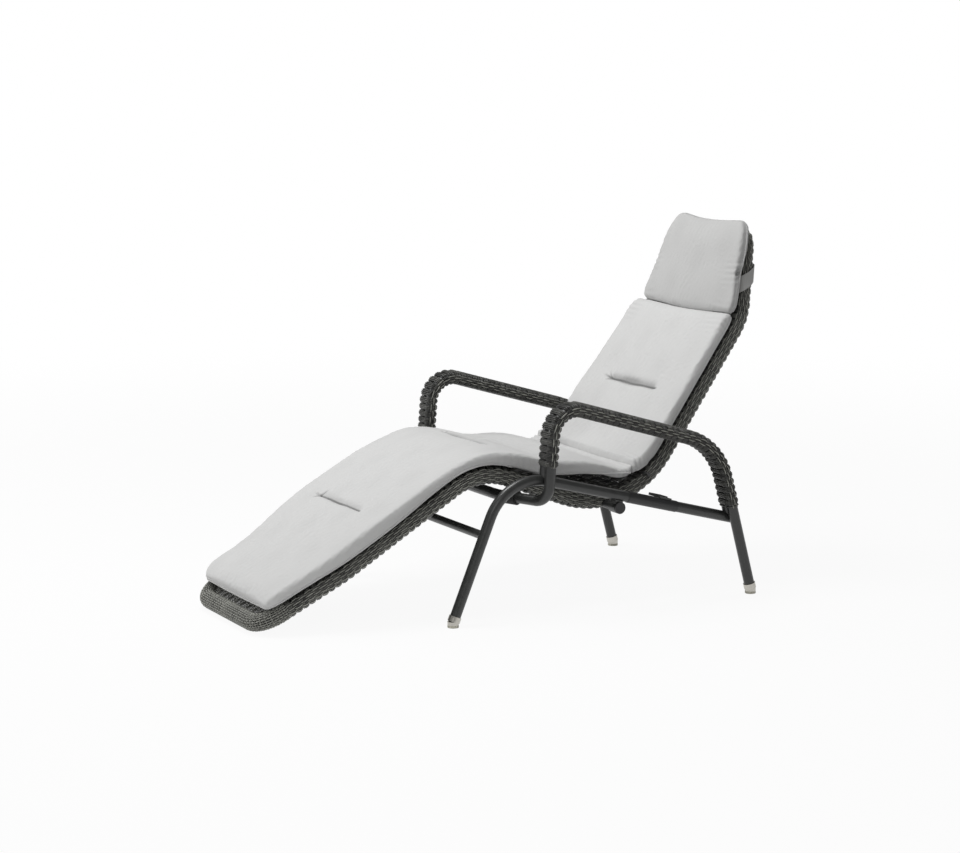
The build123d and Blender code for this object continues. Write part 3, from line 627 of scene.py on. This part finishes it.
def spanAt(at):  # half spacing of the rims beside a point of the middle plane
    best = None
    for (x0, y0, z0), (x1, y1, z1) in zip(spans, spans[1:]):
        run = (y1 - y0) ** 2 + (z1 - z0) ** 2
        share = min(max(((at.y - y0) * (y1 - y0) + (at.z - z0) * (z1 - z0)) / run, 0), 1)
        miss = math.hypot(y0 + (y1 - y0) * share - at.y, z0 + (z1 - z0) * share - at.z)
        if best is None or miss < best[0]:
            best = (miss, (x0 + (x1 - x0) * share) / 1000)
    return best[1]


panelKnit = panelTree(panelWeave)
points, ups = middleLine([corner[1:] for corner in rimCorners[1:-1]], rimBends[1:-1], panelSeat["step"])
cut = next(i for i, at in enumerate(points) if at.y > panelSeat["splitY"])
for part, first, last in (("leg", 0, cut + 1), ("back", cut, len(points))):
    some = [at + up * panelSeat["lift"] for at, up in zip(points[first:last], ups[first:last])]
    base = pathObject(part + "PanelLine", some, ups[first:last])
    layer = base.data.attributes.new("reach", "FLOAT", "POINT")
    layer.data.foreach_set("value", [spanAt(at) - panelSeat["inset"] for at in points[first:last]])
    addWeave(part + "_woven_panel", base, panelKnit, panelWeave, "shell", "woven_panel")


# Cushions

cushionFill = {"pressure": 4.0, "slack": -0.02, "spring": 1.0, "topHold": 0.35, "levels": 20, "frames": 20,
               "quality": 4, "mass": 0.4, "stretch": 12, "shear": 6, "bend": 0.6}
fullCrease = 0.005  # depth of relief that gets the whole crease shade
endSteps = 20  # half the points of piping across the foot end
cushionStep = 0.003  # spacing of the points on a cushion's line
batch = 20000  # vertices set against the line at a time


def places(mesh):
    values = np.empty(len(mesh.vertices) * 3)
    mesh.vertices.foreach_get("co", values)
    return values.reshape(-1, 3)


def facings(mesh):
    values = np.empty(len(mesh.vertices) * 3)
    mesh.vertex_normals.foreach_get("vector", values)
    return values.reshape(-1, 3)


def setPlaces(mesh, values):
    mesh.vertices.foreach_set("co", values.ravel())
    mesh.update()


def foamBlank(look):  # closed, evenly divided copy of the solid with eased edges
    solid = frame["nodes"][look["node"]]
    mesh = solid.data.copy()
    mesh.transform(solid.matrix_world)
    editMesh(mesh, lambda shaped: bmesh.ops.remove_doubles(shaped, verts=shaped.verts, dist=1e-5))
    made = linkObject(look["node"] + "Blank", mesh)
    remesh = made.modifiers.new("even", "REMESH")
    remesh.mode = "VOXEL"
    remesh.voxel_size = look["voxel"]
    ease = made.modifiers.new("ease", "SMOOTH")
    ease.factor = 0.5
    ease.iterations = look["easing"]
    even = evaluatedMesh(made)
    dropObject(made)
    return linkObject(look["node"] + "Foam", even)


def smoothStep(low, high, value):
    share = np.clip((value - low) / (high - low), 0, 1)
    return share * share * (3 - 2 * share)


def holdGroup(made, look, line):  # how firmly the foam is held, in even levels
    rest = places(made.data)
    along, lift, under = lineShares(rest, line)
    top = smoothStep(-0.2, 0.5, (facings(made.data) * under).sum(axis=1))
    hold = 1 - top * (1 - cushionFill["topHold"])
    for tuft in look["tufts"]:
        inside = smoothStep(0.012, 0.0, np.abs(rest[:, 0]) - tuft["half"])
        hold = np.maximum(hold, np.exp(-((along - tuft["run"]) / 0.010) ** 2) * inside * top)
    levels = cushionFill["levels"]
    group = made.vertex_groups.new(name="hold")
    for level in range(1, levels + 1):
        chosen = np.nonzero(np.round(hold * levels) == level)[0]
        group.add([int(i) for i in chosen], level / levels, "REPLACE")


def inflate(made, look, line):  # air pressure against springs that hold the foam
    rest = places(made.data)
    holdGroup(made, look, line)
    cloth = made.modifiers.new("fill", "CLOTH")
    cloth.settings.quality = cushionFill["quality"]
    cloth.settings.mass = cushionFill["mass"]
    cloth.settings.tension_stiffness = cushionFill["stretch"]
    cloth.settings.compression_stiffness = cushionFill["stretch"]
    cloth.settings.shear_stiffness = cushionFill["shear"]
    cloth.settings.bending_stiffness = cushionFill["bend"]
    cloth.settings.use_pressure = True
    cloth.settings.uniform_pressure_force = cushionFill["pressure"]
    cloth.settings.shrink_min = cushionFill["slack"]
    cloth.settings.vertex_group_mass = "hold"
    cloth.settings.pin_stiffness = cushionFill["spring"]
    cloth.settings.effector_weights.gravity = 0
    cloth.collision_settings.use_collision = False
    cloth.point_cache.frame_start = 1
    cloth.point_cache.frame_end = cushionFill["frames"]
    for frameNumber in range(1, cushionFill["frames"] + 1):
        scene.frame_set(frameNumber)
    filled = evaluatedMesh(made)
    moved = places(filled) - rest
    made.modifiers.remove(cloth)
    bpy.data.meshes.remove(filled)
    scene.frame_set(1)
    size = np.linalg.norm(moved, axis=1)
    print("filled", made.name, "mean", round(size.mean() * 1000, 1), "most", round(size.max() * 1000, 1))
    capped = look["cap"] * np.tanh(size / look["cap"])
    setPlaces(made.data, rest + moved * (capped / np.maximum(size, 1e-9))[:, None])


def lineShares(spots, line):  # run along the cushion's line, height over it, and the way up
    points, ups = line
    ys = np.array([at.y for at in points])
    zs = np.array([at.z for at in points])
    upward = np.array([tuple(up) for up in ups])
    runs = np.concatenate([[0], np.cumsum(np.hypot(np.diff(ys), np.diff(zs)))])
    nearest = np.empty(len(spots), dtype=int)
    for start in range(0, len(spots), batch):
        some = spots[start:start + batch]
        away = (some[:, 1, None] - ys) ** 2 + (some[:, 2, None] - zs) ** 2
        nearest[start:start + batch] = away.argmin(axis=1)
    offY = spots[:, 1] - ys[nearest]
    offZ = spots[:, 2] - zs[nearest]
    up = upward[nearest]
    lift = offY * up[:, 1] + offZ * up[:, 2]
    along = runs[nearest] + offY * up[:, 2] - offZ * up[:, 1]
    return along, lift, up


def tuftRelief(along, across, top, tuft):
    off = along - tuft["run"]
    across = across - tuft["centre"]
    side = np.abs(across)
    inside = smoothStep(tuft["half"] + 0.010, tuft["half"] - 0.010, side)
    width = np.where(off > 0, tuft["above"], tuft["below"])
    relief = -tuft["depth"] * np.exp(-(off / width) ** 2) * inside
    stitched = smoothStep(tuft["half"] + 0.002, tuft["half"] - 0.004, side)
    relief -= tuft["stitch"] * np.exp(-(off / tuft["line"]) ** 2) * stitched
    for end, turn, reach, depth in tuft["creases"]:
        fromEnd = across * end - tuft["half"]
        forward = fromEnd * math.cos(turn) + off * math.sin(turn)
        aside = off * math.cos(turn) - fromEnd * math.sin(turn)
        fade = smoothStep(reach, 0.0, forward) * smoothStep(-0.003, 0.002, forward)
        relief -= depth * np.exp(-(aside / 0.0026) ** 2) * fade
    return relief * top


def refineTufts(mesh, look, line):  # closer mesh along the sewn tufts
    if not look["tufts"]:
        return
    spots = places(mesh)
    along, lift, up = lineShares(spots, line)
    near = np.zeros(len(spots), dtype=bool)
    for tuft in look["tufts"]:
        side = np.abs(spots[:, 0] - tuft["centre"])
        tall = 0.009 + 0.020 * (side > tuft["half"] - 0.012)
        near |= (np.abs(along - tuft["run"]) < tall) & (side < tuft["half"] + 0.035) & (lift > 0.015)

    def divide(shaped):
        edges = [edge for edge in shaped.edges if near[edge.verts[0].index] and near[edge.verts[1].index]]
        bmesh.ops.subdivide_edges(shaped, edges=edges, cuts=2, use_grid_fill=True)

    editMesh(mesh, divide)


def settle(spots, along, up, look):  # slow uneven set of a used cushion
    way = np.column_stack([np.zeros(len(up)), up[:, 2], -up[:, 1]])
    moved = np.zeros_like(spots)
    for bed in look["sets"]:
        near = np.exp(-((along - bed["run"]) / bed["reach"]) ** 2)
        near = near * np.exp(-((spots[:, 0] - bed["centre"]) / bed["half"]) ** 2)
        push = np.array([bed.get(key, 0.0) for key in ("side", "deep", "rise")])
        moved += near[:, None] * (way * bed.get("along", 0.0) + push)
    moved[:, 0] += look["slip"]
    return moved


def dress(made, look, line):  # stitched lines, gathers and uneven set on the filled cushion
    finer = made.modifiers.new("finer", "SUBSURF")
    finer.levels = 1
    finer.render_levels = 1
    mesh = evaluatedMesh(made)
    dropObject(made)
    refineTufts(mesh, look, line)
    spots = places(mesh)
    normals = facings(mesh)
    along, lift, up = lineShares(spots, line)
    across = spots[:, 0]
    facing = (normals * up).sum(axis=1)
    top = smoothStep(0.3, 0.8, facing)
    flank = smoothStep(0.5, 0.9, np.abs(normals[:, 0]))
    relief = np.zeros(len(spots))
    for tuft in look["tufts"]:
        relief += tuftRelief(along, across, top, tuft)
    wave = np.sin(along * 31 + across * 17 + 0.7) * np.sin(across * 43 - along * 13 + 1.9)
    relief += look["wobble"] * wave * top
    for gather in look["gathers"]:
        away = np.exp(-((along - gather["run"]) / gather["reach"]) ** 2)
        ripple = np.sin(along * gather["waves"] * 2 * math.pi + 3 * np.sin(lift * 90 + gather["run"] * 50))
        outer = smoothStep(gather["inner"], gather["inner"] + 0.06, np.abs(across))
        relief += gather["depth"] * ripple * away * (flank + 0.8 * top * outer)
    if "pinch" in look:
        pinch = look["pinch"]
        relief -= pinch["depth"] * np.exp(-((along - pinch["run"]) / pinch["reach"]) ** 2) * flank
    if "seamLift" in look:
        seam = np.exp(-((lift - look["seamLift"]) / 0.003) ** 2) * (facing > -0.7)
        relief -= look["seamDepth"] * seam * (1 - top)
    moved = settle(spots, along, up, look)
    if "hug" in look:
        hug = look["hug"]
        beyond = np.abs(across) - (hug["start"] - along * hug["taper"])
        drop = hug["depth"] * smoothStep(0.0, 0.012, beyond) * smoothStep(0.022, 0.006, lift)
        moved -= up * drop[:, None]
    setPlaces(mesh, spots + normals * relief[:, None] + moved)
    # relief depth kept on the mesh for the painted shade in the creases and tuft grooves
    layer = mesh.attributes.new("paintedCreaseShade", "FLOAT", "POINT")
    layer.data.foreach_set("value", np.clip(-relief / fullCrease, 0, 1))
    mesh.name = look["name"]
    return linkObject(look["name"], mesh)


def sideHits(tree, line, look):  # points of the lower edge, round both sides and the first end
    points, ups = line
    chosen = list(range(look["pipeStart"], len(points) - look["pipeEnd"], 2))
    sides = {1: [], -1: []}
    for index in chosen:
        at = points[index] + ups[index] * look["pipeLift"]
        for side in (1, -1):
            hit = tree.ray_cast(Vector((side * 0.5, at.y, at.z)), Vector((-side, 0, 0)))[0]
            if hit is not None:
                sides[side].append(hit + Vector((side * look["pipeOut"], 0, 0)))
    end = []
    if look["pipeRound"]:
        heading = (points[1] - points[0]).normalized()
        at = points[0] + ups[0] * look["pipeLift"]
        wide = abs(sides[1][0].x) - look["pipeInset"]
        for step in range(-endSteps, endSteps + 1):
            start = Vector((wide * step / endSteps, at.y, at.z)) - heading * 0.1
            hit = tree.ray_cast(start, heading)[0]
            if hit is not None:
                end.append(hit - heading * look["pipeOut"])
    return sides, end


def addPiping(made, line, look):
    tree = BVHTree.FromObject(made, bpy.context.evaluated_depsgraph_get())
    sides, end = sideHits(tree, line, look)
    if end:
        runs = [list(reversed(sides[-1])) + end + sides[1]]
    else:
        runs = [sides[-1], sides[1]]
    curve = bpy.data.curves.new("pipingLine", "CURVE")
    curve.dimensions = "3D"
    curve.bevel_depth = look["pipeRadius"]
    curve.bevel_resolution = 1
    curve.use_fill_caps = True
    for run in runs:
        spline = curve.splines.new("POLY")
        spline.points.add(len(run) - 1)
        for target, at in zip(spline.points, run):
            target.co = (*at, 1)
    pipe = linkObject("pipingLine", curve)
    pipeMesh = evaluatedMesh(pipe)
    editMesh(made.data, lambda shaped: shaped.from_mesh(pipeMesh))
    dropObject(pipe)


def softCushion(look):
    line = middleLine(look["line"], look["bends"], cushionStep)
    foam = foamBlank(look)
    inflate(foam, look, line)
    made = dress(foam, look, line)
    addPiping(made, line, look)
    made.data.materials.clear()
    made.data.materials.append(finishes[look["finish"]])
    for face in made.data.polygons:
        face.use_smooth = True
        face.material_index = 0
    registerPiece(made, look["body"], look["node"])
    print(look["name"], len(made.data.polygons), "faces")


# Creases at a tuft's ends: end, turn, reach and depth of each
farCreases = ((-1, 0.15, 0.050, 0.0060), (-1, 0.75, 0.030, 0.0050), (-1, -0.40, 0.026, 0.0045),
              (1, 0.10, 0.018, 0.0030))
legCreases = ((-1, 0.10, 0.045, 0.0050), (-1, 2.00, 0.030, 0.0060), (-1, -0.47, 0.032, 0.0045),
              (1, -0.10, 0.012, 0.0020))


def tuftAt(run, half=0.100, depth=0.0050, creases=farCreases):
    return {"run": run, "half": half, "centre": 0.009, "depth": depth, "above": 0.013, "below": 0.005,
            "stitch": 0.0045, "line": 0.0018, "creases": creases}


seatCushion = {
    "name": "seat_and_leg_cushion", "node": "seat_cushion", "body": "shell", "finish": "cushion_cloth",
    "line": [(-803.1, 60.1), (-632.5, 149.6), (-286.7, 370.3), (-150.2, 318.4), (116, 300)],
    "bends": [500, 175, 200], "voxel": 0.0058, "easing": 3, "cap": 0.004, "fill": 0.85, "wobble": 0.0003,
    "tufts": [tuftAt(0.3215, 0.107, 0.0022, legCreases), tuftAt(0.6558)], "slip": 0.0,
    "sets": [{"run": 1.00, "reach": 0.10, "centre": -0.24, "half": 0.16, "deep": -0.006, "rise": 0.009},
             {"run": 0.91, "reach": 0.05, "centre": 0.24, "half": 0.16, "rise": -0.003},
             {"run": 0.70, "reach": 0.05, "centre": 0.0, "half": 0.60, "rise": 0.006},
             {"run": 0.57, "reach": 0.06, "centre": -0.24, "half": 0.20, "rise": -0.006}],
    "pipeStart": 4, "pipeEnd": 2, "pipeRound": True, "pipeInset": 0.006, "pipeLift": 0.0026,
    "pipeRadius": 0.0022, "pipeOut": 0.0014,
    "gathers": [{"run": 0.985, "reach": 0.035, "waves": 75, "depth": 0.0012, "inner": 0.15},
                {"run": 0.70, "reach": 0.10, "waves": 60, "depth": 0.0004, "inner": 0.30}],
}
backCushion = {
    "name": "back_rest_cushion", "node": "back_cushion", "body": "shell", "finish": "cushion_cloth",
    "line": [(116.6, 300), (166.3, 320.8), (414.3, 659.6)],
    "bends": [60], "voxel": 0.0058, "easing": 3, "cap": 0.007, "fill": 0.85, "wobble": 0.0003,
    "tufts": [tuftAt(0.2316)], "slip": 0.0,
    "sets": [{"run": 0.445, "reach": 0.05, "centre": 0.02, "half": 0.13, "along": -0.008},
             {"run": 0.0, "reach": 0.09, "centre": -0.24, "half": 0.16, "deep": -0.002, "rise": 0.008},
             {"run": 0.20, "reach": 0.07, "centre": -0.25, "half": 0.09, "side": -0.008}],
    "pipeStart": 5, "pipeEnd": 2, "pipeRound": False, "pipeLift": 0.0026, "pipeRadius": 0.0022,
    "pipeOut": 0.0014,
    "gathers": [{"run": 0.015, "reach": 0.03, "waves": 80, "depth": 0.0013, "inner": 0.15},
                {"run": 0.44, "reach": 0.03, "waves": 70, "depth": 0.0008, "inner": 0.12}],
}
headPillow = {
    "name": "head_rest_pillow", "node": "head_pillow", "body": "pillow", "finish": "pillow_cloth",
    "line": [(412.5, 660.9), (482.6, 875.8)],
    "bends": [], "voxel": 0.005, "easing": 5, "cap": 0.005, "fill": 0.8, "wobble": 0.0004,
    "tufts": [], "slip": 0.010,
    "sets": [{"run": 0.0, "reach": 0.05, "centre": 0.02, "half": 0.13, "along": -0.008},
             {"run": 0.225, "reach": 0.045, "centre": -0.13, "half": 0.05, "along": 0.007},
             {"run": 0.225, "reach": 0.045, "centre": 0.13, "half": 0.05, "along": 0.004},
             {"run": 0.225, "reach": 0.045, "centre": 0.0, "half": 0.07, "along": -0.002},
             {"run": 0.05, "reach": 0.06, "centre": -0.19, "half": 0.05, "side": 0.005}],
    "pinch": {"run": 0.099, "reach": 0.010, "depth": 0.005},
    "hug": {"start": 0.2175, "taper": 0.362, "depth": 0.006},
    "pipeStart": 2, "pipeEnd": 3, "pipeRound": False, "pipeLift": 0.0030, "pipeRadius": 0.0016,
    "pipeOut": 0.0008, "seamLift": 0.012, "seamDepth": 0.0016,
    "gathers": [{"run": 0.10, "reach": 0.03, "waves": 70, "depth": 0.0010, "inner": 0.12},
                {"run": 0.0, "reach": 0.02, "waves": 60, "depth": 0.0010, "inner": 0.10}],
}
for look in (seatCushion, backCushion, headPillow):
    softCushion(look)


# Strap behind the headrest

strapLook = {"width": 0.040, "thick": 0.0012, "at": 0.096, "radius": 0.0251, "slant": 0.95, "tab": 0.006,
             "rows": 9, "turnSteps": 14, "straightSteps": 30}
neck, head = [point(0, y, z) for x, y, z in rimCorners[5:7]]
headWay = (head - neck).normalized()
headUp = shellNormal(headWay, None)


def strapPoint(angle, straight, row):  # angle round the rim, or how far off and out on a straight run
    if straight is None:
        off = math.cos(angle) * strapLook["radius"]
        out = math.sin(angle) * strapLook["radius"]
    else:
        off, out = straight
    across = (row / (strapLook["rows"] - 1) - 0.5) * strapLook["width"]
    run = strapLook["at"] - off * strapLook["slant"] + across
    share = run / (head - neck).length
    spread = (rimCorners[5][0] * (1 - share) + rimCorners[6][0] * share) / 1000
    return spread, out, run, off


def strapMesh():  # stops along the band: side, angle round the rim, place on a straight run
    turns, straights, rows = (strapLook[key] for key in ("turnSteps", "straightSteps", "rows"))
    stops = [(1, None, (strapLook["radius"], -strapLook["tab"]))]
    stops += [(1, math.pi * step / turns, None) for step in range(turns + 1)]
    stops += [(0, None, (-strapLook["radius"], 1 - 2 * step / straights)) for step in range(1, straights)]
    stops += [(-1, math.pi * (1 - step / turns), None) for step in range(turns + 1)]
    stops += [(-1, None, (strapLook["radius"], -strapLook["tab"]))]
    grid = []
    for side, angle, straight in stops:
        column = []
        for row in range(rows):
            spread, out, run, off = strapPoint(angle, straight, row)
            x = spread * straight[1] if side == 0 else side * (spread + out)
            column.append(neck + headWay * run + headUp * off + Vector((x, 0, 0)))
        grid.append(column)
    mesh = bpy.data.meshes.new("strapBand")
    faces = [(c * rows + r, c * rows + r + 1, (c + 1) * rows + r + 1, (c + 1) * rows + r)
             for c in range(len(grid) - 1) for r in range(rows - 1)]
    mesh.from_pydata([at for column in grid for at in column], [], faces)
    long = sum((b[rows // 2] - a[rows // 2]).length for a, b in zip(grid, grid[1:]))
    return mesh, long


band, bandLong = strapMesh()
blank = linkObject("strapBlank", band)
skin = blank.modifiers.new("skin", "SOLIDIFY")
skin.thickness = strapLook["thick"]
skin.offset = 0
mesh = evaluatedMesh(blank)
dropObject(blank)
editMesh(mesh, lambda shaped: bmesh.ops.recalc_face_normals(shaped, faces=shaped.faces))
strap = linkObject("head_strap", mesh)
mesh.materials.clear()
mesh.materials.append(strapCloth)
registerPiece(strap, "pillow", "pillow_strap")
print("head_strap", len(mesh.polygons), "faces, flat length", round(bandLong, 4))


# Floor, world, lamps and camera

floorLook = {"half": 30.0, "colour": (0.8, 0.8, 0.8), "near": 1.2, "far": 5.0, "nearWhite": 0.93,
             "worldLight": 0.30}


def addFloor():
    mesh = bpy.data.meshes.new("floor")
    size = floorLook["half"]
    corners = [(-size, -size, 0), (size, -size, 0), (size, size, 0), (-size, size, 0)]
    mesh.from_pydata(corners, [], [(0, 1, 2, 3)])
    material, nodes = newMaterial("paleFloor")
    rays = nodes.add("ShaderNodeLightPath", out="Is Camera Ray")
    seen = rays.math("MAXIMUM", rays.other("Is Glossy Ray"))
    place = nodes.add("ShaderNodeTexCoord", out="Object")
    away = nodes.add("ShaderNodeVectorMath", {"operation": "LENGTH"}, {0: place}, out="Value")
    far = nodes.add("ShaderNodeMapRange", {"interpolation_type": "SMOOTHSTEP"},
                    {"Value": away, "From Min": floorLook["near"], "From Max": floorLook["far"],
                     "To Min": floorLook["nearWhite"], "To Max": 1.0})
    plain = nodes.add("ShaderNodeBsdfDiffuse", None, {"Color": floorLook["colour"]})
    bright = nodes.add("ShaderNodeEmission", None, {"Color": (1, 1, 1), "Strength": 1.0})
    mixed = nodes.add("ShaderNodeMixShader", None, {0: seen * far, 1: plain, 2: bright})
    nodes.add("ShaderNodeOutputMaterial", None, {"Surface": mixed})
    mesh.materials.append(material)
    linkObject("floor", mesh)


def addWorld():
    world = bpy.data.worlds.new("studio")
    scene.world = world
    world.use_nodes = True
    world.node_tree.nodes.clear()
    nodes = Nodes(world.node_tree)
    rays = nodes.add("ShaderNodeLightPath", out="Is Camera Ray")
    soft = nodes.add("ShaderNodeBackground", None, {"Color": (1, 1, 1), "Strength": floorLook["worldLight"]})
    white = nodes.add("ShaderNodeBackground", None, {"Color": (1, 1, 1), "Strength": 1.0})
    mixed = nodes.add("ShaderNodeMixShader", None, {0: rays, 1: soft, 2: white})
    nodes.add("ShaderNodeOutputWorld", None, {"Surface": mixed})


def addLamp(name, place, aim, size, power):
    lamp = bpy.data.lights.new(name, "AREA")
    lamp.shape = "RECTANGLE"
    lamp.size, lamp.size_y = size
    lamp.energy = power
    made = linkObject(name, lamp)
    made.location = place
    made.rotation_euler = (Vector(aim) - Vector(place)).to_track_quat("-Z", "Y").to_euler()


addFloor()
addWorld()
addLamp("overhead", place=(-0.3, -0.7, 3.0), aim=(0, -0.1, 0.3), size=(1.3, 1.3), power=52)
addLamp("footSide", place=(-2.4, -2.9, 1.5), aim=(0, 0, 0.4), size=(0.9, 1.6), power=35)
addLamp("nearFill", place=(3.2, -2.6, 2.6), aim=(0, 0, 0.4), size=(1.6, 1.6), power=22)

view = {"place": (5.16450, -2.76728, 1.33133), "azimuth": 61.921, "down": 9.0139, "lens": 93.11,
        "sensor": 36.0, "reach": 100.0}
camera = bpy.data.cameras.new("camera")
camera.sensor_fit = "HORIZONTAL"
camera.sensor_width = view["sensor"]
camera.lens = view["lens"]
camera.clip_end = view["reach"]
eye = linkObject("camera", camera)
eye.location = view["place"]
eye.rotation_euler = (math.radians(90 - view["down"]), 0, math.radians(view["azimuth"]))
scene.camera = eye
scene.view_settings.view_transform = "Standard"
print("floor, lamps and camera ready")
